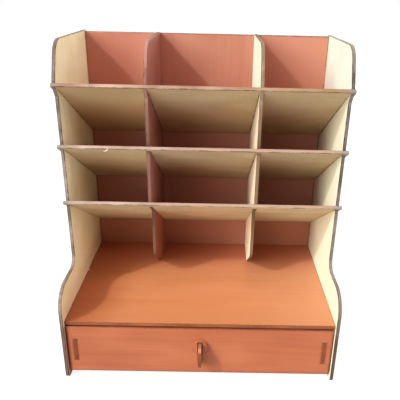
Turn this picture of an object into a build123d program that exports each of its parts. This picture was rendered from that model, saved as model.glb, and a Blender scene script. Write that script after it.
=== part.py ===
from build123d import *
import os
from math import cos, radians, sin, tan

# Desk organiser cut by laser from thin fibreboard, in millimetres. X runs to the right, Y to
# the back and Z up. The origin lies on the floor, in the middle of the whole thing.
# Two numbers in brackets are the place of a point on a standing board: how far it lies in
# front of the back panel, and how high above the floor.

# Board and joints
board = 3.0  # thickness of every panel
tab = 20.0  # length of a carcass tab along its edge
slot_play = 0.1  # a slot is this much longer than its tab, at each end
tab_proud = 0.3  # the end of a tab stands this far out of its slot

# Carcass
inner_width = 240.0  # between the side panels
height = 294.0  # top of the side panels and dividers
base_depth = 153.0  # side panels beside the drawer, in front of the back panel
upper_depth = 100.5  # side panels and dividers between the shelves
head_depth = 92.5  # top corner of side panels and dividers, before it is rounded
head_radius = 18.0
brow_depth = 106.0  # side panels and dividers where they lean out to the front of the top shelf
chin_drop = 45.0  # where they have stepped back again below it, from the top edge
cheek_height = 91.0  # low walls on both sides of the desk top
cheek_radius = 20.0
throat_radius = 10.0  # hollow corner between upper front edge and low wall
foot_radius = 5.0
rear_tail = 5.0  # side panels behind the back panel
back_top_drop = 0.8  # back panel below the top of the side panels
floor_gap = 8.0  # under the base panel and the back panel

# Desk top and drawer housing
desk_height = 60.7  # top face of the desk panel
desk_setback = 3.0  # its front edge behind that of the side panels
level_tab_places = (35.0, 115.0)  # side tabs of desk and base, in front of the back panel
level_rear_tab_inset = 60.0  # rear tabs of desk and base, from the side panels
low_back_tabs = (45.0, 150.0)  # side tabs of the back panel, above the floor
top_back_tab_drop = 39.0  # its highest side tab, below the top edge

# Slanted shelves, from the top down
shelf_slope = 31.3  # degrees, front edge up
shelf_drops = (97.1, 147.8, 199.8)  # top face where it meets the back panel, from the top edge
shelf_reaches = (106.0, 102.0, 102.0)  # upper front corner in front of the back panel
ear_overhangs = (1.2, 2.5, 2.5)  # beyond the outer faces of the side panels
ear_length = 15.0  # along the slope, where a shelf passes through the side panels
ear_radius = 1.0
front_strip = 8.0  # along the slope, the part of a shelf that crosses in front of the dividers

# Dividers
middle_bay_width = 92.4  # between the dividers
low_divider_tabs = (76.0, 170.0)  # rear tabs, above the floor
top_divider_tab_drop = 54.0  # highest rear tab, below the top edge
heel_depth = 80.0  # front edge below the lowest shelf
heel_height = 90.0  # where that edge turns back to the foot
heel_radius = 12.0
foot_depth = 38.0  # foot on the desk top
lap_recess = 1.0  # the divider ends this far inside the slot of the lowest shelf

# Drawer
face_setback = 2.6  # drawer front behind the front edge of the side panels
face_bottom = 7.2  # lower edge of the drawer front above the floor
face_side_gap = 1.1
face_top_gap = 1.4
slide_gap = 0.3  # drawer over its floor, and drawer front before the base panel
drawer_wall_gap = 6.5  # drawer sides to side panels
drawer_wall_height = 39.0
drawer_rear_gap = 4.0  # drawer sides in front of the back panel
drawer_back_inset = 4.0  # drawer back in front of the ends of the drawer sides
bottom_lift = 2.0  # drawer bottom above the lower edge of the drawer sides
drawer_tab = 22.5  # tab of a drawer side through the drawer front
drawer_back_tab = 15.0
drawer_bottom_tab_places = (45.0, 110.0)

# Knob
knob_height = 31.0  # middle of knob and of the drawer side tabs
knob_tall = 23.0
knob_reach = 14.0  # in front of the drawer front
knob_radius = 10.0
knob_shoulder = 2.0  # wider than its slot by this, above and below, behind the drawer front
knob_root = 4.0  # depth of that wider part
disc_radius = 6.8  # round plate on the drawer front, around the upper half of the knob
disc_bridge = 1.4  # left of that plate above the slot for the knob

# Worked out from the sizes above
outer_half = inner_width / 2 + board
back_tab_heights = (*low_back_tabs, height - top_back_tab_drop)
level_rear_tab = inner_width / 2 - level_rear_tab_inset
tab_reach = board + tab_proud
slot_length = tab + 2 * slot_play
base_top = floor_gap + board
drawer_face = base_depth - face_setback
drawer_front_back = drawer_face - board
base_front = drawer_front_back - slide_gap
drawer_floor = base_top + slide_gap
drawer_bottom_top = drawer_floor + bottom_lift + board
drawer_wall_offset = inner_width / 2 - drawer_wall_gap - board / 2
drawer_half = drawer_wall_offset - board / 2
slope_cos = cos(radians(shelf_slope))
slope_sin = sin(radians(shelf_slope))
slope_tan = tan(radians(shelf_slope))
shelf_runs = [reach / slope_cos for reach in shelf_reaches]
shelf_rear_heights = [height - drop for drop in shelf_drops]
chin_height = height - chin_drop
divider_offset = (middle_bay_width + board) / 2
divider_tab_heights = (*low_divider_tabs, height - top_divider_tab_drop)
knob_slot_length = knob_tall + 2 * slot_play
disc_height = knob_height + knob_slot_length / 2 + disc_bridge - disc_radius
back_y = (drawer_face + knob_reach - board - rear_tail) / 2
sides = {"left": -1, "right": 1}

os.makedirs("parts", exist_ok=True)


def standing(x):
    """Middle plane of a board that stands front to back: first forward, then up."""
    return Plane(origin=(x, back_y, 0), x_dir=(0, -1, 0), z_dir=(-1, 0, 0))


def facing(forward):
    """Plane of a front face, forward mm before the back panel: first to the right, then up."""
    return Plane(origin=(0, back_y - forward, 0), x_dir=(1, 0, 0), z_dir=(0, -1, 0))


def lying(up):
    """Plane of a top face, up mm above the floor: first to the right, then forward."""
    return Plane(origin=(0, back_y, up), x_dir=(1, 0, 0), z_dir=(0, 0, -1))


def on_shelf(rear_height, run, depth=0.0):
    """Point (forward, up), run mm up the slope of a shelf and depth mm below its top face."""
    forward = run * slope_cos + depth * slope_sin
    up = rear_height + run * slope_sin - depth * slope_cos
    return (forward, up)


def corner_near(forward, up):
    """Corner of the outline being drawn that lies nearest to a point."""
    return vertices().sort_by_distance((forward, up))[0]


def shelf_notches(inset):
    """Cut a slanted notch for each shelf, from inset mm behind its front edge to the front."""
    for rear_height, run in zip(shelf_rear_heights, shelf_runs):
        with Locations(on_shelf(rear_height, run - inset)):
            Rectangle(
                inset + ear_length,
                board,
                rotation=shelf_slope,
                align=(Align.MIN, Align.MAX),
                mode=Mode.SUBTRACT,
            )


brow = on_shelf(shelf_rear_heights[0], brow_depth / slope_cos)
chin = (brow_depth, brow[1] - board / slope_cos)

# Side panels
# The front edge drops from a rounded head, leans out to carry the top shelf, steps back below
# it, falls straight past the other shelves and sweeps out to the low walls beside the desk top.
for side_name, side in sides.items():
    with BuildPart() as side_panel:
        with BuildSketch(standing(side * (inner_width + board) / 2)):
            with BuildLine():
                Polyline(
                    (-board - rear_tail, 0),
                    (-board - rear_tail, height),
                    (head_depth, height),
                    brow,
                    chin,
                    (upper_depth, chin_height),
                    (upper_depth, cheek_height),
                    (base_depth, cheek_height),
                    (base_depth, 0),
                    close=True,
                )
            make_face()
            fillet(corner_near(head_depth, height), radius=head_radius)
            fillet(corner_near(upper_depth, cheek_height), radius=throat_radius)
            fillet(corner_near(base_depth, cheek_height), radius=cheek_radius)
            fillet(vertices().group_by(Axis.Y)[0], radius=foot_radius)
            shelf_notches(ear_length)
            with Locations([(-board / 2, up) for up in back_tab_heights]):
                Rectangle(board, slot_length, mode=Mode.SUBTRACT)
            for top_face in (desk_height, base_top):
                with Locations([(forward, top_face - board / 2) for forward in level_tab_places]):
                    Rectangle(slot_length, board, mode=Mode.SUBTRACT)
        extrude(amount=board / 2, both=True)
    side_panel.part.label = f"side_panel_{side_name}"
    export_step(side_panel.part, f"parts/{side_panel.part.label}.step")

# Back panel
with BuildPart() as back_panel:
    with BuildSketch(facing(0)):
        with Locations((0, floor_gap)):
            Rectangle(
                inner_width,
                height - back_top_drop - floor_gap,
                align=(Align.CENTER, Align.MIN),
            )
        for side in sides.values():
            with Locations([(side * inner_width / 2, up) for up in back_tab_heights]):
                Rectangle(2 * tab_reach, tab)
            with Locations([(side * divider_offset, up) for up in divider_tab_heights]):
                Rectangle(board, slot_length, mode=Mode.SUBTRACT)
            with Locations((side * level_rear_tab, desk_height)):
                Rectangle(slot_length, board, align=(Align.CENTER, Align.MAX), mode=Mode.SUBTRACT)
            with Locations((side * level_rear_tab, floor_gap)):
                Rectangle(slot_length, board, align=(Align.CENTER, Align.MIN), mode=Mode.SUBTRACT)
    extrude(amount=-board)
back_panel.part.label = "back_panel"
export_step(back_panel.part, "parts/back_panel.step")

# Shelves
# Each is a comb: three tongues between the walls, joined by a strip that crosses in front of
# the dividers and ends in an ear outside each side panel.
for shelf_name, rear_height, shelf_run, ear_overhang in zip(
    ("top", "middle", "lower"), shelf_rear_heights, shelf_runs, ear_overhangs
):
    shelf_plane = Plane(
        origin=(0, back_y, rear_height),
        x_dir=(1, 0, 0),
        z_dir=(0, -slope_sin, -slope_cos),
    )
    with BuildPart() as shelf:
        with BuildSketch(shelf_plane):
            with Locations((0, shelf_run)):
                Rectangle(
                    2 * (outer_half + ear_overhang),
                    ear_length,
                    align=(Align.CENTER, Align.MAX),
                )
            fillet(vertices(), radius=ear_radius)
            Rectangle(inner_width, shelf_run, align=(Align.CENTER, Align.MIN))
            with Locations([(side * divider_offset, 0) for side in sides.values()]):
                Rectangle(
                    board,
                    shelf_run - front_strip,
                    align=(Align.CENTER, Align.MIN),
                    mode=Mode.SUBTRACT,
                )
        extrude(amount=board)
    shelf.part.label = f"shelf_{shelf_name}"
    export_step(shelf.part, f"parts/{shelf.part.label}.step")

# Dividers
# They stand on the desk top, run up through the slots of all shelves and step back below the
# lowest one, where the step stays just inside the slot.
lowest = shelf_rear_heights[2]
strip_start = shelf_runs[2] - front_strip
step_depth = board - lap_recess
step_front = on_shelf(lowest, strip_start, step_depth)
step_back = (heel_depth, step_front[1] - (step_front[0] - heel_depth) * slope_tan)
for side_name, side in sides.items():
    with BuildPart() as divider:
        with BuildSketch(standing(side * divider_offset)):
            with BuildLine():
                Polyline(
                    (0, desk_height),
                    (0, height),
                    (head_depth, height),
                    brow,
                    chin,
                    (upper_depth, chin_height),
                    on_shelf(lowest, upper_depth / slope_cos),
                    on_shelf(lowest, strip_start),
                    step_front,
                    step_back,
                    (heel_depth, heel_height),
                    (foot_depth, desk_height),
                    close=True,
                )
            make_face()
            fillet(corner_near(head_depth, height), radius=head_radius)
            fillet(corner_near(heel_depth, heel_height), radius=heel_radius)
            shelf_notches(front_strip)
            with Locations([(0, up) for up in divider_tab_heights]):
                Rectangle(2 * tab_reach, tab)
        extrude(amount=board / 2, both=True)
    divider.part.label = f"divider_{side_name}"
    export_step(divider.part, f"parts/{divider.part.label}.step")

# Desk panel and base panel
for panel_name, top_face, front in (
    ("desk_panel", desk_height, base_depth - desk_setback),
    ("base_panel", base_top, base_front),
):
    with BuildPart() as level_panel:
        with BuildSketch(lying(top_face)):
            Rectangle(inner_width, front, align=(Align.CENTER, Align.MIN))
            for side in sides.values():
                with Locations([(side * inner_width / 2, forward) for forward in level_tab_places]):
                    Rectangle(2 * tab_reach, tab)
                with Locations((side * level_rear_tab, 0)):
                    Rectangle(tab, 2 * tab_reach)
        extrude(amount=board)
    level_panel.part.label = panel_name
    export_step(level_panel.part, f"parts/{panel_name}.step")

# Drawer front
with BuildPart() as drawer_front:
    face_top = desk_height - board - face_top_gap
    with BuildSketch(facing(drawer_face)):
        with Locations((0, face_bottom)):
            Rectangle(
                inner_width - 2 * face_side_gap,
                face_top - face_bottom,
                align=(Align.CENTER, Align.MIN),
            )
        with Locations([(side * drawer_wall_offset, knob_height) for side in sides.values()]):
            Rectangle(board, drawer_tab + 2 * slot_play, mode=Mode.SUBTRACT)
        with Locations((0, knob_height)):
            Rectangle(board, knob_slot_length, mode=Mode.SUBTRACT)
    extrude(amount=-board)
drawer_front.part.label = "drawer_front"
export_step(drawer_front.part, "parts/drawer_front.step")

# Drawer sides
drawer_wall_length = drawer_front_back - drawer_rear_gap
drawer_back_middle = drawer_rear_gap + drawer_back_inset + board / 2
drawer_wall_top = drawer_floor + drawer_wall_height
drawer_back_tab_height = (drawer_bottom_top + drawer_wall_top) / 2
for side_name, side in sides.items():
    with BuildPart() as drawer_side:
        with BuildSketch(standing(side * drawer_wall_offset)):
            with Locations((drawer_rear_gap, drawer_floor)):
                Rectangle(
                    drawer_wall_length,
                    drawer_wall_height,
                    align=(Align.MIN, Align.MIN),
                )
            with Locations((drawer_front_back, knob_height)):
                Rectangle(2 * tab_reach, drawer_tab)
            with Locations((drawer_back_middle, drawer_back_tab_height)):
                Rectangle(board, drawer_back_tab + 2 * slot_play, mode=Mode.SUBTRACT)
            with Locations(
                [(forward, drawer_bottom_top - board / 2) for forward in drawer_bottom_tab_places]
            ):
                Rectangle(slot_length, board, mode=Mode.SUBTRACT)
        extrude(amount=board / 2, both=True)
    drawer_side.part.label = f"drawer_side_{side_name}"
    export_step(drawer_side.part, f"parts/{drawer_side.part.label}.step")

# Drawer back, standing on the drawer bottom
with BuildPart() as drawer_back:
    with BuildSketch(facing(drawer_back_middle + board / 2)):
        with Locations((0, drawer_bottom_top)):
            Rectangle(
                2 * drawer_half,
                drawer_wall_top - drawer_bottom_top,
                align=(Align.CENTER, Align.MIN),
            )
        with Locations([(side * drawer_half, drawer_back_tab_height) for side in sides.values()]):
            Rectangle(2 * tab_reach, drawer_back_tab)
    extrude(amount=-board)
drawer_back.part.label = "drawer_back"
export_step(drawer_back.part, "parts/drawer_back.step")

# Drawer bottom
with BuildPart() as drawer_bottom:
    with BuildSketch(lying(drawer_bottom_top)):
        with Locations((0, drawer_rear_gap)):
            Rectangle(2 * drawer_half, drawer_wall_length, align=(Align.CENTER, Align.MIN))
        for side in sides.values():
            with Locations([(side * drawer_half, forward) for forward in drawer_bottom_tab_places]):
                Rectangle(2 * tab_reach, tab)
    extrude(amount=board)
drawer_bottom.part.label = "drawer_bottom"
export_step(drawer_bottom.part, "parts/drawer_bottom.step")

# Knob
# A D-shaped plate on edge, pushed through the drawer front from inside up to its shoulders.
with BuildPart() as knob:
    with BuildSketch(standing(0)):
        with Locations((drawer_front_back, knob_height)):
            Rectangle(board + knob_reach, knob_tall, align=(Align.MIN, Align.CENTER))
        fillet(vertices().group_by(Axis.X)[-1], radius=knob_radius)
        with Locations((drawer_front_back, knob_height)):
            Rectangle(
                knob_root,
                knob_tall + 2 * knob_shoulder,
                align=(Align.MAX, Align.CENTER),
            )
    extrude(amount=board / 2, both=True)
knob.part.label = "drawer_knob"
export_step(knob.part, "parts/drawer_knob.step")

# Knob disc
# A round plate glued flat to the drawer front, slotted from below for the knob.
with BuildPart() as knob_disc:
    with BuildSketch(facing(drawer_face + board)):
        with Locations((0, disc_height)):
            Circle(disc_radius)
        with Locations((0, knob_height)):
            Rectangle(board, knob_slot_length, mode=Mode.SUBTRACT)
    extrude(amount=-board)
knob_disc.part.label = "knob_disc"
export_step(knob_disc.part, "parts/knob_disc.step")
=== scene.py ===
import math

import bmesh
import bpy
import numpy as np
from mathutils import Matrix, Vector


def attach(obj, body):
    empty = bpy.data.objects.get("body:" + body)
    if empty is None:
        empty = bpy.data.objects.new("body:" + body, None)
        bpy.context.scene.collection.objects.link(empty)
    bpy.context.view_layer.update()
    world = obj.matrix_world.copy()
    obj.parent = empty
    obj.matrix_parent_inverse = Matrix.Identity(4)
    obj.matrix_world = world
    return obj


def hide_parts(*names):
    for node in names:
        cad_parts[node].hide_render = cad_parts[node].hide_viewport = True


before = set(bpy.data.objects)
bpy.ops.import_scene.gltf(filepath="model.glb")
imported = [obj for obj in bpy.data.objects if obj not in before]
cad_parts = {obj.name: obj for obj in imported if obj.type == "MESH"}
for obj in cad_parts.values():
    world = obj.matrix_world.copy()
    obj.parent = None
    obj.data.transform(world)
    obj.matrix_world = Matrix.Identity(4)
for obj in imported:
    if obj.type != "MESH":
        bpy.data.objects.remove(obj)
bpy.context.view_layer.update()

MM = 0.001
TO_MM = 1000.0

# colours, nodes and objects


def linear(code):
    """An sRGB hex colour as the linear numbers that a shader takes."""
    part = np.array([int(code[i : i + 2], 16) for i in (1, 3, 5)]) / 255
    curve = np.where(part <= 0.04045, part / 12.92, ((part + 0.055) / 1.055) ** 2.4)
    return (*curve.tolist(), 1.0)


def add(tree, kind, inputs=(), stops=(), **settings):
    """Adds a shader node. Settings are its own properties, inputs are numbers or other nodes' sockets
    by socket name or number, and stops are the places and colours of a ramp."""
    made = tree.nodes.new("ShaderNode" + kind)
    for key, value in settings.items():
        setattr(made, key, value)
    for key, value in dict(inputs).items():
        if isinstance(value, bpy.types.NodeSocket):
            tree.links.new(value, made.inputs[key])
        else:
            made.inputs[key].default_value = value
    for place, (where, code) in enumerate(stops):
        ramp = made.color_ramp.elements
        if place >= len(ramp):
            ramp.new(where)
        ramp[place].position = where
        ramp[place].color = linear(code)
    return made


def empty_material(name, displayed):
    """A new material with its node tree emptied, and the colour that a plain viewport displays for it."""
    made = bpy.data.materials.new(name)
    made.use_nodes = True
    made.node_tree.nodes.clear()
    made.diffuse_color = linear(displayed)
    return made, made.node_tree


def in_scene(name, data):
    """A new object with that mesh, lamp or camera, put into the scene."""
    made = bpy.data.objects.new(name, data)
    bpy.context.scene.collection.objects.link(made)
    return made


# steps that the finishes share

# levels of a pattern at which the dark, middle and light shade stand: noise seldom goes past them
SHADES_AT = (0.36, 0.5, 0.64)


def sheet_place(tree, long_mm, wide_mm, shift=(0.0, 0.0, 0.0)):
    """The place on the board's own sheet, first along the grain and then across it, stretched so that one
    unit of a pattern is long_mm along the grain and wide_mm across it."""
    place = add(tree, "UVMap", uv_map="board_mm").outputs[0]
    stretch = {"Vector": place, "Location": shift, "Scale": (1 / long_mm, 1 / wide_mm, 1)}
    return add(tree, "Mapping", stretch).outputs[0]


def mottle(tree, shades, *patterns):
    """Adds up patterns, each times its share, and gives each level of the sum its colour. Shades are the
    light, the middle and the dark one."""
    level = 0.0
    for pattern, share in patterns:
        level = add(tree, "Math", {0: pattern, 1: share, 2: level}, operation="MULTIPLY_ADD").outputs[0]
    stops = zip(SHADES_AT, reversed(shades))
    return level, add(tree, "ValToRGB", {"Fac": level}, stops).outputs["Color"]


def change_tone(tree, tone, changes, blend="LINEAR"):
    """Lays smooth changes of tone over a colour. Each has its colour, the places in millimetres where it
    starts and where it is full, its share there, and how the places are counted: along the grain, across
    it, or off_centre, which is along the grain and the same on both sides of nought."""
    sheet = add(tree, "SeparateXYZ", {0: sheet_place(tree, long_mm=1, wide_mm=1)})
    for colour, start_mm, full_mm, share, counted in changes:
        place = sheet.outputs["Y" if counted == "across" else "X"]
        if counted == "off_centre":
            place = add(tree, "Math", {0: place}, operation="ABSOLUTE").outputs[0]
        reach = {"Value": place, "From Min": start_mm, "From Max": full_mm, "To Max": share}
        part = add(tree, "MapRange", reach, interpolation_type=blend).outputs[0]
        tone = add(tree, "Mix", {"Factor": part, 6: tone, 7: linear(colour)}, data_type="RGBA").outputs[2]
    return tone


def scorch_rim(tree, tone, brown, fade, soot, soot_range, share_range):
    """Browns a colour along the laser's cuts: by the rim attribute to the power of fade, times a share
    that goes through share_range while the soot pattern goes through soot_range."""
    rim = add(tree, "Attribute", attribute_name="rim").outputs["Fac"]
    line = add(tree, "Math", {0: rim, 1: fade}, operation="POWER").outputs[0]
    patchy = add(tree, "MapRange", {"Value": soot, "From Min": soot_range[0], "From Max": soot_range[1],
                                    "To Min": share_range[0], "To Max": share_range[1]}).outputs[0]
    scorch = add(tree, "Math", {0: line, 1: patchy}, operation="MULTIPLY").outputs[0]
    return add(tree, "Mix", {"Factor": scorch, 6: tone, 7: linear(brown)}, data_type="RGBA").outputs[2]


def close_material(tree, tone, height, bump, deep_mm, sheen):
    """Ends a finish with its shader: a colour, a sheen, and a relief of deep_mm from a height pattern."""
    relief = add(tree, "Bump", {"Strength": bump, "Distance": deep_mm * MM, "Height": height}).outputs[0]
    shader = add(tree, "BsdfPrincipled", {"Base Color": tone, "Normal": relief, **sheen})
    add(tree, "OutputMaterial", {"Surface": shader.outputs[0]})


# finishes


def wood_print(name, shades, changes=()):
    """Fibreboard faced with a printed melamine foil, pressed on with a satin plate. The eye sees a plain
    warm red-brown with long, faint, nearly straight grain, soft clouds and darker pores, and a brown line
    where the laser scorched its rim. A grain line is 2.6 mm wide and 170 mm long, and wavers by up to
    three lines over 130 mm. Printed pores are about 0.2 mm wide, drawn here at 0.4, because finer ones
    don't show. The foil is a little glossier where the print is light."""
    made, tree = empty_material(name, shades[1])
    waver = add(tree, "TexNoise", {"Vector": sheet_place(tree, long_mm=130, wide_mm=40), "Scale": 1.0,
                                   "Detail": 2.0}, noise_dimensions="2D").outputs["Fac"]
    lines_aside = add(tree, "Math", {0: waver, 1: 3.0}, operation="MULTIPLY").outputs[0]
    aside = add(tree, "CombineXYZ", {"Y": lines_aside}).outputs[0]
    straight = sheet_place(tree, long_mm=170, wide_mm=2.6)
    bent = add(tree, "VectorMath", {0: straight, 1: aside}, operation="ADD").outputs[0]
    grain = add(tree, "TexNoise", {"Vector": bent, "Scale": 1.0, "Detail": 5.0, "Roughness": 0.62},
                noise_dimensions="2D").outputs["Fac"]
    cloud_place = sheet_place(tree, long_mm=110, wide_mm=38, shift=(3.1, 7.7, 0))
    cloud = add(tree, "TexNoise", {"Vector": cloud_place, "Scale": 1.0, "Detail": 2.0},
                noise_dimensions="2D").outputs["Fac"]
    level, tone = mottle(tree, shades, (cloud, 0.66), (grain, 0.34))
    streaks = add(tree, "TexNoise", {"Vector": sheet_place(tree, long_mm=6, wide_mm=0.4), "Scale": 1.0,
                                     "Detail": 1.0}, noise_dimensions="2D").outputs["Fac"]
    pore = add(tree, "MapRange", {"Value": streaks, "From Min": 0.66, "From Max": 0.78,
                                  "To Max": 0.14}).outputs[0]
    tone = add(tree, "Mix", {"Factor": pore, 6: tone, 7: linear("#7E3E28")}, data_type="RGBA").outputs[2]
    tone = change_tone(tree, tone, changes, blend="SMOOTHSTEP")
    soot = add(tree, "TexNoise", {"Vector": sheet_place(tree, long_mm=5, wide_mm=5), "Scale": 1.0,
                                  "Detail": 3.0}, noise_dimensions="2D").outputs["Fac"]
    tone = scorch_rim(tree, tone, "#683C2A", fade=1.2, soot=soot, soot_range=(0.3, 0.65),
                      share_range=(0.4, 0.95))
    satin = add(tree, "MapRange", {"Value": level, "From Min": 0.3, "From Max": 0.7, "To Min": 0.5,
                                   "To Max": 0.4}).outputs[0]
    height = add(tree, "Math", {0: level, 1: pore}, operation="SUBTRACT").outputs[0]
    close_material(tree, tone, height, bump=0.2, deep_mm=0.02,
                   sheen={"Roughness": satin, "IOR": 1.46, "Specular IOR Level": 0.4})
    return made


def raw_fibreboard(name, shades, faintest_scorch=0.4, changes=()):
    """The unfaced side of a thin fibreboard, pressed smooth and left bare. The eye sees a matt cream with
    pressed fibres, 3.2 mm long and 1.1 mm wide, faint clouds, and a tan scorch along the cuts. The scorch
    is patchy, and faintest_scorch is the share of it that is left at its faintest."""
    made, tree = empty_material(name, shades[1])
    fibre = add(tree, "TexNoise", {"Vector": sheet_place(tree, long_mm=3.2, wide_mm=1.1), "Scale": 1.0,
                                   "Detail": 4.0, "Roughness": 0.7}, noise_dimensions="2D").outputs["Fac"]
    cloud_place = sheet_place(tree, long_mm=38, wide_mm=24, shift=(5.3, 1.9, 0))
    cloud = add(tree, "TexNoise", {"Vector": cloud_place, "Scale": 1.0, "Detail": 2.0},
                noise_dimensions="2D").outputs["Fac"]
    _, tone = mottle(tree, shades, (cloud, 0.5), (fibre, 0.5))
    tone = change_tone(tree, tone, changes)
    soot_place = sheet_place(tree, long_mm=6, wide_mm=6, shift=(1.7, 4.4, 0))
    soot = add(tree, "TexNoise", {"Vector": soot_place, "Scale": 1.0, "Detail": 3.0, "Roughness": 0.6},
               noise_dimensions="2D").outputs["Fac"]
    tone = scorch_rim(tree, tone, "#6E4A2E", fade=1.3, soot=soot, soot_range=(0.42, 0.58),
                      share_range=(faintest_scorch, 1.0))
    close_material(tree, tone, fibre, bump=0.3, deep_mm=0.03,
                   sheen={"Roughness": 0.8, "IOR": 1.46, "Specular IOR Level": 0.25})
    return made


def laser_cut(name, shades, char, ragged, changes=()):
    """The edge of fibreboard as a laser leaves it, fused and sooted. The eye sees a brown band with fine
    lines across it, one for each pulse, and char where the beam came out, along the bare face, which
    reaches up by as much as the ragged share of the thickness. A thinner line of char lies along the
    facing. The lines are a fifth of a millimetre apart, drawn here at half of one, because finer ones
    don't show."""
    made, tree = empty_material(name, shades[1])
    pulse = add(tree, "TexNoise", {"Vector": sheet_place(tree, long_mm=0.5, wide_mm=0.5), "Scale": 1.0,
                                   "Detail": 1.0}, noise_dimensions="2D").outputs["Fac"]
    smoke_place = sheet_place(tree, long_mm=30, wide_mm=30, shift=(2.2, 8.1, 0))
    smoke = add(tree, "TexNoise", {"Vector": smoke_place, "Scale": 1.0, "Detail": 3.0, "Roughness": 0.6},
                noise_dimensions="2D").outputs["Fac"]
    _, tone = mottle(tree, shades, (smoke, 0.8), (pulse, 0.2))
    tone = change_tone(tree, tone, changes)
    flame_place = sheet_place(tree, long_mm=9, wide_mm=9, shift=(6.4, 2.7, 0))
    flame = add(tree, "TexNoise", {"Vector": flame_place, "Scale": 1.0, "Detail": 3.0, "Roughness": 0.65},
                noise_dimensions="2D").outputs["Fac"]
    reach = add(tree, "MapRange", {"Value": flame, "From Min": 0.4, "From Max": 0.66, "To Min": 0.02,
                                   "To Max": ragged}).outputs[0]
    through = add(tree, "Attribute", attribute_name="through").outputs["Fac"]
    inside = add(tree, "Math", {0: reach, 1: through}, operation="SUBTRACT").outputs[0]
    beam_side = add(tree, "MapRange", {"Value": inside, "From Min": -0.05, "From Max": 0.08,
                                       "To Max": 0.85}).outputs[0]
    foil_side = add(tree, "MapRange", {"Value": through, "From Min": 0.88, "From Max": 0.97,
                                       "To Max": 0.5}).outputs[0]
    burnt = add(tree, "Math", {0: beam_side, 1: foil_side}, operation="MAXIMUM").outputs[0]
    tone = add(tree, "Mix", {"Factor": burnt, 6: tone, 7: linear(char)}, data_type="RGBA").outputs[2]
    close_material(tree, tone, pulse, bump=0.5, deep_mm=0.05,
                   sheen={"Roughness": 0.6, "IOR": 1.46, "Specular IOR Level": 0.2})
    return made


def dried_glue(name, shades):
    """Wood glue that was squeezed out of a joint and left to dry. The eye sees a small, pale, waxy bead,
    clouded every 0.8 mm."""
    made, tree = empty_material(name, shades[1])
    cloud = add(tree, "TexNoise", {"Vector": sheet_place(tree, long_mm=0.8, wide_mm=0.8), "Scale": 1.0,
                                   "Detail": 2.0}, noise_dimensions="2D").outputs["Fac"]
    level, tone = mottle(tree, shades, (cloud, 1.0))
    close_material(tree, tone, level, bump=0.4, deep_mm=0.05, sheen={"Roughness": 0.4, "IOR": 1.47})
    return made


# One print and one raw board, whose shades differ a little for each group of boards: first the light,
# middle and dark shade, then the changes of tone as change_tone takes them. Some of these shades are
# partly painted light and shade: the dividers' foil, which faces away from the lamps, is darker, and the
# raw faces that the lamps light most, the right side's and the dividers', are greyer than the shaded left
# side's. The changes are no marks on the board but painted shade and painted light. They were fitted by
# trial, and make up for shadow and warmth that the lamps below don't give.
ORANGE_PRINT = ("#CB875B", "#C58155", "#BD784D")
ROSE_PRINT = ("#BF836D", "#BA7D67", "#B2755F")
SIDE_FOIL = wood_print("wood_print_foil_of_sides", ORANGE_PRINT)
# On the desk: painted shade towards its front and towards its rear, under the lower shelf, a painted shadow
# of the left side panel over its left part, and painted light towards its right end.
DESK_FOIL = wood_print("wood_print_foil_of_desk", ORANGE_PRINT, [
    ("#BF7D51", -35, -65, 0.8, "across"),
    ("#924829", -60, -120, 0.7, "along"),
    ("#C88D66", 20, 110, 0.65, "along"),
    ("#BD7058", 5, 55, 0.8, "across"),
])
DRAWER_FOIL = wood_print("wood_print_foil_of_drawer", ("#B76A46", "#AF613E", "#A55837"))
SHELF_FOIL = wood_print("wood_print_foil_of_shelves", ROSE_PRINT)
# On the back panel: painted shade towards its left, painted light towards its right, and painted light that
# makes it paler below 230 mm, in the lower rows, with painted shade below 95 mm, where it turns darker again.
BACK_FOIL = wood_print("wood_print_foil_of_back", ROSE_PRINT, [
    ("#B3705E", 30, 90, 0.8, "across"),
    ("#C4856D", -40, -90, 0.8, "across"),
    ("#CB9485", 230, 205, 0.7, "along"),
    ("#B6785E", 105, 95, 0.9, "along"),
])
# The dividers' foil, which faces away from the lamps, is darker than the back's and shelves' print, partly as
# painted shade, and is paler below 225 mm and darker below 130 mm: painted light and shade by row.
DIVIDER_FOIL = wood_print("wood_print_foil_of_dividers", ("#A6695B", "#A16256", "#985A4F"), [
    ("#AF7769", 245, 225, 0.6, "along"),
    ("#9E5E4B", 160, 130, 0.9, "along"),
])

# The left side's raw face lies in shade and is painted paler and warmer than the lit right side's. Near the
# desk it turns yellower below 75 mm and pinker below 70 mm, painted bounced light, and dark red-brown below
# 54 mm, painted shade in the recess beside the drawer front.
LEFT_CREAM = raw_fibreboard("raw_fibreboard_of_left_side", ("#FAF4D8", "#F7EFCE", "#F0E5BF"), changes=[
    ("#F7EAB8", 100, 75, 0.5, "along"),
    ("#E5C8AF", 82, 70, 0.5, "along"),
    ("#A9695A", 57, 54, 0.8, "along"),
])
# The right side's raw face, which the lamps light most, is painted greyer than the left side's, and warmer
# below 235 mm, in the rows under the top shelf: painted warm shade.
RIGHT_CREAM = raw_fibreboard("raw_fibreboard_of_right_side", ("#EBEEDE", "#E6EAD9", "#DFE1CC"), changes=[
    ("#F0E1C4", 255, 235, 0.8, "along"),
])
CREAM = raw_fibreboard("raw_fibreboard_of_standing_boards", ("#EEE1CE", "#EADBC6", "#E3D1B7"))
# The dividers' raw faces, lit by the lamps, are painted greyer like the right side's, and warmer below 235
# mm, in the rows under the top shelf: painted warm shade.
DIVIDER_CREAM = raw_fibreboard("raw_fibreboard_of_dividers", ("#E9EBD7", "#E3E6D0", "#DCDDC2"), changes=[
    ("#F7D7BB", 255, 235, 0.8, "along"),
])
TAN = raw_fibreboard("raw_fibreboard_of_lying_boards", ("#DACAA4", "#D4C39B", "#CAB890"),
                     faintest_scorch=0.1)
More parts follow.
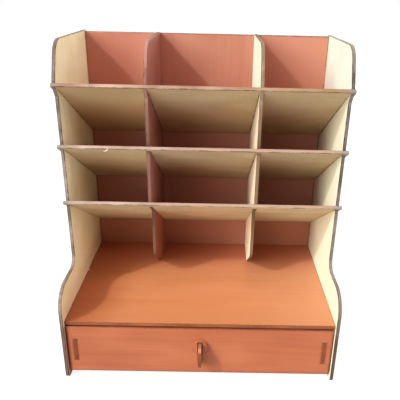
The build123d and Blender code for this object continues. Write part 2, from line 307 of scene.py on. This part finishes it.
# The top shelf's underside turns darker towards its left end, from -30 to -65 mm: painted shade.
TOP_TAN = raw_fibreboard("raw_fibreboard_of_top_shelf", ("#DDCAA3", "#D7C39A", "#CDB88F"),
                         faintest_scorch=0.1, changes=[("#CBB189", -30, -65, 0.8, "along")])
LOWER_TAN = raw_fibreboard("raw_fibreboard_of_lower_shelf", ("#DCD1AF", "#D7CBA7", "#CDBF97"),
                           faintest_scorch=0.1)
TORN = raw_fibreboard("torn_fibreboard", ("#FFF6E6", "#FBEFDC", "#F3E3CC"))

SIDE_EDGE = laser_cut("laser_cut_edge_of_sides", ("#A99C92", "#8D8076", "#6B5F55"), "#352A22", 0.3, [
    ("#5E4338", 95, 25, 0.85, "along"),
])
RIGHT_EDGE = laser_cut("laser_cut_edge_of_right_side", ("#8E847A", "#776C62", "#5B5047"), "#2F251E", 0.3, [
    ("#4E3C30", 95, 45, 0.85, "along"),
])
SHELF_EDGE = laser_cut("laser_cut_edge_of_shelves", ("#BEA398", "#AD9388", "#967C72"), "#54402F", 0.26, [
    ("#A78A79", -80, 0, 0.85, "along"),
    ("#8C8580", 113, 121, 0.85, "off_centre"),
])
TOP_SHELF_EDGE = laser_cut(
    "laser_cut_edge_of_top_shelf", ("#B99B8A", "#A88A79", "#917261"), "#54402F", 0.26, [
        ("#8F7350", -40, 110, 0.85, "along"),
        ("#857C78", 113, 121, 0.85, "off_centre"),
    ])
# The left divider's edge turns darker below 252 mm, and more so from 225 mm down to 130 mm, in the rows under
# the shelves: painted shade.
LEFT_DIVIDER_EDGE = laser_cut(
    "laser_cut_edge_of_left_divider", ("#B08578", "#A37769", "#8E6355"), "#5A3830", 0.2, [
        ("#86635A", 252, 238, 0.85, "along"),
        ("#775046", 225, 130, 0.85, "along"),
    ])
# The right divider's edge turns darker above 274 mm, and below 252 mm, more so from 220 mm down to 160 mm;
# the darkening below 252 mm, in the rows under the shelves, is painted shade.
RIGHT_DIVIDER_EDGE = laser_cut(
    "laser_cut_edge_of_right_divider", ("#AE9580", "#A08A72", "#8B7560"), "#54402C", 0.2, [
        ("#7A6450", 274, 282, 0.85, "along"),
        ("#896B50", 252, 240, 0.85, "along"),
        ("#7C654B", 220, 160, 0.85, "along"),
    ])
DESK_EDGE = laser_cut("laser_cut_edge_of_desk", ("#9C5D3A", "#905235", "#7F452C"), "#5A2C17", 0.1, [
    ("#8A4E36", 60, 120, 0.85, "off_centre"),
])
DRAWER_EDGE = laser_cut("laser_cut_edge_of_drawer", ("#8E4628", "#814025", "#72361F"), "#47200F", 0.2)
# The knob plate's rim is pale only around 40 mm high and turns darker above 40.8 mm and below 39.7 mm: a
# painted highlight on its rounded top, with painted shade on the rim below it.
KNOB_EDGE_WITH_PAINTED_HIGHLIGHT = laser_cut("laser_cut_edge_of_knob", ("#C48A6A", "#B87C5C", "#A46848"), "#6A3018", 0.1, [
    ("#8E5638", 40.8, 41.7, 0.85, "along"),
    ("#6E3018", 39.7, 38.3, 0.85, "along"),
])
DISC_EDGE = laser_cut("laser_cut_edge_of_knob_disc", ("#B87A58", "#AC6E4C", "#9A5E3E"), "#8A4A30", 0.1)

GLUE = dried_glue("dried_wood_glue", ("#FFE6D0", "#F6D6BC", "#E8C2A4"))

# boards

BOARD_MM = 3.0
FOIL_MM = 0.2
ARRIS_MM = 0.12
LEFT, RIGHT, FRONT, BACK, UP = (-1, 0, 0), (1, 0, 0), (0, -1, 0), (0, 1, 0), (0, 0, 1)
SLOPE = math.radians(31.3)
SHELF_TOP = (0, math.sin(SLOPE), math.cos(SLOPE))

# how wide the scorched band along a cut is, and where it is wider. On the back panel, whose edges mostly
# lie in corners against the other boards, and on the two upper shelves, the wider band is partly scorch
# and partly painted shade.
SCORCH_MM = 0.7
WIDE_SCORCH_AND_SHADE_MM = {"back_panel": 1.7, "drawer_front": 1.8, "desk_panel": 1.3, "shelf_top": 1.6,
                  "shelf_middle": 1.6}
# round slots, which are this far inside the board's outline, some pieces keep only a share of the scorch
SLOT_INSET_MM = 8.0
SLOT_SCORCH_SHARE = {"back_panel_facing": 0.25}

SAME_PLACE_MM = 0.002
SAME_PLANE = math.radians(0.4)
SHARP_FROM = math.radians(35)
# cosines of the angle between a face's normal and a direction, from which on it counts as facing it
FACES_IT = 0.99
LIES_FLAT = 0.9
# marks the faces inside the scorched band while a board is being made
INSIDE_BAND = 2


def values_of(items, key, width=1, kind=float):
    """One property of all vertices, corners or faces of a mesh, as an array with width numbers each."""
    values = np.empty(len(items) * width, kind)
    items.foreach_get(key, values)
    return values.reshape(-1, width) if width > 1 else values


def squeeze(mesh, out, low_mm, high_mm):
    """Squeezes a board along its outward direction to the layer between low_mm and high_mm from its inner
    face: a point's new height is the inner face's, plus low_mm, plus the part of the thickness that lies
    under the point times the layer's own thickness. Gives the inner face's height."""
    place = values_of(mesh.vertices, "co", 3)
    height = place @ out
    lowest, thick = height.min(), np.ptp(height)
    layer = lowest + low_mm * MM + (height - lowest) / thick * (high_mm - low_mm) * MM
    place += np.outer(layer - height, out)
    mesh.vertices.foreach_set("co", place.ravel())
    return lowest


def dress_rims(mesh, out, shown, scorch_mm):
    """Merges a CAD mesh's loose triangles into plain faces. Then each shown face, outward for 1 and inward
    for -1, is given a small flat arris along its cuts and, inside it, a band as wide as the scorch."""
    bm = bmesh.new()
    bm.from_mesh(mesh)
    bmesh.ops.remove_doubles(bm, verts=bm.verts, dist=SAME_PLACE_MM * MM)
    bmesh.ops.dissolve_limit(bm, angle_limit=SAME_PLANE, verts=bm.verts, edges=bm.edges)
    for side in shown:
        facing = Vector(out * side)
        bm.normal_update()
        faces = {f for f in bm.faces if f.normal.dot(facing) > FACES_IT}
        cuts = [e for e in bm.edges if len({f in faces for f in e.link_faces}) == 2]
        bmesh.ops.bevel(bm, geom=cuts, offset=ARRIS_MM * MM, offset_type="OFFSET", segments=1, profile=0.5,
                        affect="EDGES", clamp_overlap=True)
        bm.normal_update()
        faces = [f for f in bm.faces if f.normal.dot(facing) > FACES_IT]
        bmesh.ops.inset_region(bm, faces=faces, thickness=scorch_mm * MM, use_even_offset=True,
                               use_boundary=True)
        for f in faces:
            f.material_index = INSIDE_BAND
    bm.to_mesh(mesh)
    bm.free()


def lay_finishes(mesh, sheet_mm, finishes):
    """Puts finishes on a mesh, keeps each corner's place on the sheet for them, and shades it smooth."""
    corner = values_of(mesh.loops, "vertex_index", kind=np.int32)
    mesh.uv_layers.new(name="board_mm").data.foreach_set("uv", sheet_mm[corner].astype(np.float32).ravel())
    mesh.materials.clear()
    for each in finishes:
        mesh.materials.append(each)
    mesh.polygons.foreach_set("use_smooth", np.ones(len(mesh.polygons), bool))


def slab(name, node, body, out, grain, low_mm, high_mm, shown, finishes):
    """A layer of a board, made from a copy of its CAD node. Three measures are kept on it for its
    finishes: rim, which falls from 1 to 0 across the scorched band, through, which rises from 0 at the
    board's inner face to 1 at its outer, and board_mm, the place along the grain and across it. Of the
    two finishes, the first is for the faces and the second for the cut edges."""
    out, grain = np.array(out, float), np.array(grain, float)
    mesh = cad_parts[node].data.copy()
    mesh.name = name
    lowest = squeeze(mesh, out, low_mm, high_mm)
    dress_rims(mesh, out, shown, WIDE_SCORCH_AND_SHADE_MM.get(node, SCORCH_MM))

    place = values_of(mesh.vertices, "co", 3)
    corner = values_of(mesh.loops, "vertex_index", kind=np.int32)
    corners = values_of(mesh.polygons, "loop_total", kind=np.int32)
    inside_band = values_of(mesh.polygons, "material_index", kind=np.int32) == INSIDE_BAND
    flat = np.abs(values_of(mesh.polygons, "normal", 3) @ out) > LIES_FLAT

    sheet = np.stack([place @ grain, place @ np.cross(out, grain)], 1) * TO_MM
    by_slot = ((sheet > sheet.min(0) + SLOT_INSET_MM) & (sheet < sheet.max(0) - SLOT_INSET_MM)).all(1)
    rim = np.ones(len(place), np.float32)
    rim[corner[np.repeat(inside_band, corners)]] = 0
    rim[by_slot] *= SLOT_SCORCH_SHARE.get(name, 1.0)
    through = ((place @ out - lowest) / (BOARD_MM * MM)).astype(np.float32)
    mesh.attributes.new("rim", "FLOAT", "POINT").data.foreach_set("value", rim)
    mesh.attributes.new("through", "FLOAT", "POINT").data.foreach_set("value", through)

    lay_finishes(mesh, sheet, finishes)
    mesh.polygons.foreach_set("material_index", np.where(flat, 0, 1).astype(np.int32))
    mesh.set_sharp_from_angle(angle=SHARP_FROM)
    mesh.update()
    piece = in_scene(name, mesh)
    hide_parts(node)
    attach(piece, body)


# node, body, the way its faced side looks, the way its grain runs, its facing, bare side and cut edges
BOARDS = [
    ("side_panel_left", "carcass", LEFT, UP, SIDE_FOIL, LEFT_CREAM, SIDE_EDGE),
    ("side_panel_right", "carcass", RIGHT, UP, SIDE_FOIL, RIGHT_CREAM, RIGHT_EDGE),
    ("back_panel", "carcass", FRONT, UP, BACK_FOIL, CREAM, SIDE_EDGE),
    ("shelf_top", "carcass", SHELF_TOP, RIGHT, SHELF_FOIL, TOP_TAN, TOP_SHELF_EDGE),
    ("shelf_middle", "carcass", SHELF_TOP, RIGHT, SHELF_FOIL, TAN, SHELF_EDGE),
    ("shelf_lower", "carcass", SHELF_TOP, RIGHT, SHELF_FOIL, LOWER_TAN, SHELF_EDGE),
    ("divider_left", "carcass", RIGHT, UP, DIVIDER_FOIL, DIVIDER_CREAM, LEFT_DIVIDER_EDGE),
    ("divider_right", "carcass", RIGHT, UP, DIVIDER_FOIL, DIVIDER_CREAM, RIGHT_DIVIDER_EDGE),
    ("desk_panel", "carcass", UP, RIGHT, DESK_FOIL, TAN, DESK_EDGE),
    ("base_panel", "carcass", UP, RIGHT, SIDE_FOIL, TAN, DESK_EDGE),
    ("drawer_front", "drawer", FRONT, RIGHT, DRAWER_FOIL, TAN, DRAWER_EDGE),
    ("drawer_side_left", "drawer", LEFT, FRONT, DRAWER_FOIL, CREAM, DRAWER_EDGE),
    ("drawer_side_right", "drawer", RIGHT, FRONT, DRAWER_FOIL, CREAM, DRAWER_EDGE),
    ("drawer_back", "drawer", BACK, RIGHT, DRAWER_FOIL, CREAM, DRAWER_EDGE),
    ("drawer_bottom", "drawer", UP, RIGHT, DRAWER_FOIL, TAN, DRAWER_EDGE),
    ("knob_disc", "drawer", FRONT, RIGHT, DRAWER_FOIL, TAN, DISC_EDGE),
]
CORE_MM = BOARD_MM - FOIL_MM
for node, body, out, grain, foil, bare, cut in BOARDS:
    slab(node + "_board", node, body, out, grain, 0, CORE_MM, [-1], [bare, cut])
    slab(node + "_facing", node, body, out, grain, CORE_MM, BOARD_MM, [1], [foil, cut])
slab("knob_plate", "drawer_knob", "drawer", LEFT, UP, 0, BOARD_MM, [1, -1],
     [DRAWER_FOIL, KNOB_EDGE_WITH_PAINTED_HIGHLIGHT])

# traces of making

STRAND_STEPS = 15
STRAND_SIDES = 12
GLUE_WAVE = 7.0
GLUE_BLUNT = 0.6


def strand(name, path_mm, thick_mm, material):
    """A thin strand along a path. Round each place on the path lies a ring of points, at half of the local
    thickness from it and square to it: the place, plus half of the thickness times the cosine of the angle
    towards one side and its sine towards the other. The first and last rings are closed with a flat face."""
    path, thick = np.stack(path_mm, 1) * MM, thick_mm * MM
    along = np.gradient(path, axis=0)
    along /= np.linalg.norm(along, axis=1)[:, None]
    side = np.cross(along, FRONT)
    side /= np.linalg.norm(side, axis=1)[:, None]
    angle = np.linspace(0, 2 * np.pi, STRAND_SIDES, endpoint=False)
    ring = np.cos(angle)[None, :, None] * side[:, None]
    ring = ring + np.sin(angle)[None, :, None] * np.cross(along, side)[:, None]
    place = (path[:, None] + ring * thick[:, None, None] / 2).reshape(-1, 3)
    row, column = np.meshgrid(np.arange(STRAND_STEPS - 1), np.arange(STRAND_SIDES), indexing="ij")
    row, after = row * STRAND_SIDES, (column + 1) % STRAND_SIDES
    next_row = row + STRAND_SIDES
    faces = np.stack([row + column, row + after, next_row + after, next_row + column], -1).reshape(-1, 4)
    ends = [list(range(STRAND_SIDES))[::-1], list(range(len(place) - STRAND_SIDES, len(place)))]
    mesh = bpy.data.meshes.new(name)
    mesh.from_pydata(place.tolist(), [], faces.tolist() + ends)

    gone = np.concatenate([[0], np.cumsum(np.linalg.norm(np.diff(path, axis=0), axis=1))])
    sheet = np.stack([np.repeat(gone, STRAND_SIDES), np.outer(thick / 2, angle).ravel()], 1) * TO_MM
    lay_finishes(mesh, sheet, [material])
    bm = bmesh.new()
    bm.from_mesh(mesh)
    bmesh.ops.recalc_face_normals(bm, faces=bm.faces)
    bm.to_mesh(mesh)
    bm.free()
    piece = in_scene(name, mesh)
    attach(piece, "carcass")


def torn_fibres(root_mm, aside_mm, drop_mm, lean_mm, root_thick_mm, tip_thick_mm):
    """A hair of fibreboard that hangs from its root along a quarter of an ellipse: at an angle that grows
    from nought to a right one it is aside_mm times one less its cosine to the left, and drop_mm times its
    sine down. It leans to the front and thins evenly."""
    part = np.linspace(0, 1, STRAND_STEPS)
    angle = part * np.pi / 2
    path = [root_mm[0] - aside_mm * (1 - np.cos(angle)), root_mm[1] - lean_mm * part,
            root_mm[2] - drop_mm * np.sin(angle)]
    strand("torn_fibres", path, root_thick_mm + (tip_thick_mm - root_thick_mm) * part, TORN)


def glue_bead(start_mm, long_mm, wave_mm, end_thick_mm, swell_mm):
    """A bead of glue that runs straight to the front. Its line rises and falls by wave_mm times the sine of
    an angle that grows to GLUE_WAVE, a little over one turn. Its thickness is end_thick_mm, plus swell_mm
    times a blunt bump: the sine of an angle that grows to half a turn, to the power of GLUE_BLUNT."""
    part = np.linspace(0, 1, STRAND_STEPS)
    path = [np.full(STRAND_STEPS, start_mm[0]), start_mm[1] - long_mm * part,
            start_mm[2] + wave_mm * np.sin(GLUE_WAVE * part)]
    strand("glue_bead", path, end_thick_mm + swell_mm * np.sin(np.pi * part) ** GLUE_BLUNT, GLUE)


# millimetres: the back panel's front face, the middle shelf's top there, and how far its strip stands forward
BACK_Y = 78.2
MIDDLE_SHELF_Z = 146.2
STRIP_OUT = 103.4
under_strip_z = MIDDLE_SHELF_Z + STRIP_OUT * math.tan(SLOPE) - BOARD_MM / math.cos(SLOPE)
torn_fibres(root_mm=(-81.9, BACK_Y - STRIP_OUT - 0.1, under_strip_z + 0.25), aside_mm=3.3, drop_mm=2.0,
            lean_mm=0.5, root_thick_mm=0.95, tip_thick_mm=0.4)
glue_bead(start_mm=(-119.5, BACK_Y - 61.0, 60.9), long_mm=3.0, wave_mm=0.3, end_thick_mm=0.3, swell_mm=1.5)

# floor and background


def seen_itself(tree):
    """1 on the rays by which a surface is seen, also in gloss or through glass, and 0 on those by which it
    lights others."""
    path = add(tree, "LightPath")
    seen = path.outputs["Is Camera Ray"]
    for ray in ("Is Glossy Ray", "Is Transmission Ray"):
        seen = add(tree, "Math", {0: seen, 1: path.outputs[ray]}, operation="MAXIMUM").outputs[0]
    return seen


def table_top(half, steps):
    """A level sheet on a square grid: x and y run over the grid, z is nought."""
    line = np.linspace(-half, half, steps)
    x, y = np.meshgrid(line, line)
    place = np.stack([x, y, np.zeros_like(x)], -1).reshape(-1, 3)
    row, column = np.meshgrid(np.arange(steps - 1), np.arange(steps - 1), indexing="ij")
    first = (row * steps + column).ravel()
    faces = np.stack([first, first + 1, first + steps + 1, first + steps], 1)
    mesh = bpy.data.meshes.new("table_top")
    mesh.from_pydata(place.tolist(), [], faces.tolist())
    return in_scene("table_top", mesh)


def matt_white_table():
    """A matt white table top, sprayed. It lights the object as a pale floor does. Where it is seen itself,
    a glow lifts it near to white over a darker matt, which keeps the object's soft shadow."""
    made, tree = empty_material("matt_white_table_sprayed", "#F2F1EF")
    matt = add(tree, "BsdfDiffuse", {"Color": linear("#BDBCBA")}).outputs[0]
    dim = add(tree, "BsdfDiffuse", {"Color": linear("#8E8E8E")}).outputs[0]
    glow = add(tree, "Emission", {"Color": linear("#FFFFFF"), "Strength": 0.86}).outputs[0]
    lifted = add(tree, "AddShader", {0: dim, 1: glow}).outputs[0]
    both = add(tree, "MixShader", {0: seen_itself(tree), 1: matt, 2: lifted}).outputs[0]
    add(tree, "OutputMaterial", {"Surface": both})
    return made


def white_studio():
    """A room that is white where it is seen itself, and gives the object hardly any light."""
    made = bpy.data.worlds.new("white_studio")
    made.use_nodes = True
    tree = made.node_tree
    tree.nodes.clear()
    strength = add(tree, "MapRange", {"Value": seen_itself(tree), "To Min": 0.03, "To Max": 1.0}).outputs[0]
    sky = add(tree, "Background", {"Color": linear("#FFFFFF"), "Strength": strength})
    add(tree, "OutputWorld", {"Surface": sky.outputs[0]})
    return made


floor = table_top(half=6.0, steps=9)
floor.data.materials.append(matt_white_table())
bpy.context.scene.world = white_studio()

# lamps

AIM = Vector((0, 0, 0.13))
# where a sun stands doesn't change its light: this only keeps its sign off the object
SUN_AWAY = 2


def lamp(name, kind, energy, colour, place, **settings):
    """A lamp at a place, turned towards the middle of the object."""
    data = bpy.data.lights.new(name, kind)
    data.energy = energy
    data.color = linear(colour)[:3]
    for key, value in settings.items():
        setattr(data, key, value)
    made = in_scene(name, data)
    made.location = place
    made.rotation_euler = (Vector(place) - AIM).to_track_quat("Z", "Y").to_euler()


# name, strength, colour, the way its light travels, and how wide it looks in degrees
SUNS = [
    ("key_window", 1.9, "#F8F9FF", (0.607, 0.462, -0.626), 3),
    ("key_glow", 0.62, "#FFFFFE", (0.607, 0.462, -0.626), 40),
    ("low_glow", 1.95, "#ECFFF4", (0.74, 0.56, -0.37), 28),
    ("front_glow", 0.82, "#FFF9F1", (0.55, 0.75, -0.30), 40),
]
# name, watts, colour, place and width
PANELS = [
    ("right_fill", 2.9, "#FEFFF4", (1.3, -0.5, 0.5), 1.0),
    ("high_fill", 3.6, "#FFF3EF", (0.95, -0.35, 1.0), 0.7),
    ("ceiling", 13.8, "#FFD0CA", (0.1, -0.5, 1.6), 1.6),
    ("rear_fill", 11.0, "#FFF3E2", (0.8, 1.2, 0.5), 1.0),
]
for name, strength, colour, travel, wide in SUNS:
    lamp(name, "SUN", strength, colour, AIM - Vector(travel) * SUN_AWAY, angle=math.radians(wide))
for name, watts, colour, place, width in PANELS:
    lamp(name, "AREA", watts, colour, place, shape="SQUARE", size=width)

# camera, as it was worked out from corners of the boards in the photograph

PHOTO_PX = 400
FOCAL_PX = 496.3
CENTRE_PX = (220.3, 196.1)
SENSOR_MM = 36
CAMERA_PLACE = (0.0115, -0.4323, 0.3346)
LEVEL_DEG, SIDEWAYS_DEG, DOWN_DEG, ROLL_DEG = 90, -0.05, -22.72, -1.22

camera = bpy.data.cameras.new("photo_camera")
camera.sensor_width = SENSOR_MM
camera.lens = FOCAL_PX / PHOTO_PX * SENSOR_MM
camera.shift_x = (PHOTO_PX / 2 - CENTRE_PX[0]) / PHOTO_PX
camera.shift_y = (CENTRE_PX[1] - PHOTO_PX / 2) / PHOTO_PX
camera.clip_end = 50
view = in_scene("photo_camera", camera)
turn = (
    Matrix.Rotation(math.radians(ROLL_DEG), 4, "Y")
    @ Matrix.Rotation(math.radians(DOWN_DEG), 4, "X")
    @ Matrix.Rotation(math.radians(SIDEWAYS_DEG), 4, "Z")
    @ Matrix.Rotation(math.radians(LEVEL_DEG), 4, "X")
)
view.matrix_world = Matrix.Translation(CAMERA_PLACE) @ turn
bpy.context.scene.camera = view
bpy.context.scene.view_settings.view_transform = "Standard"
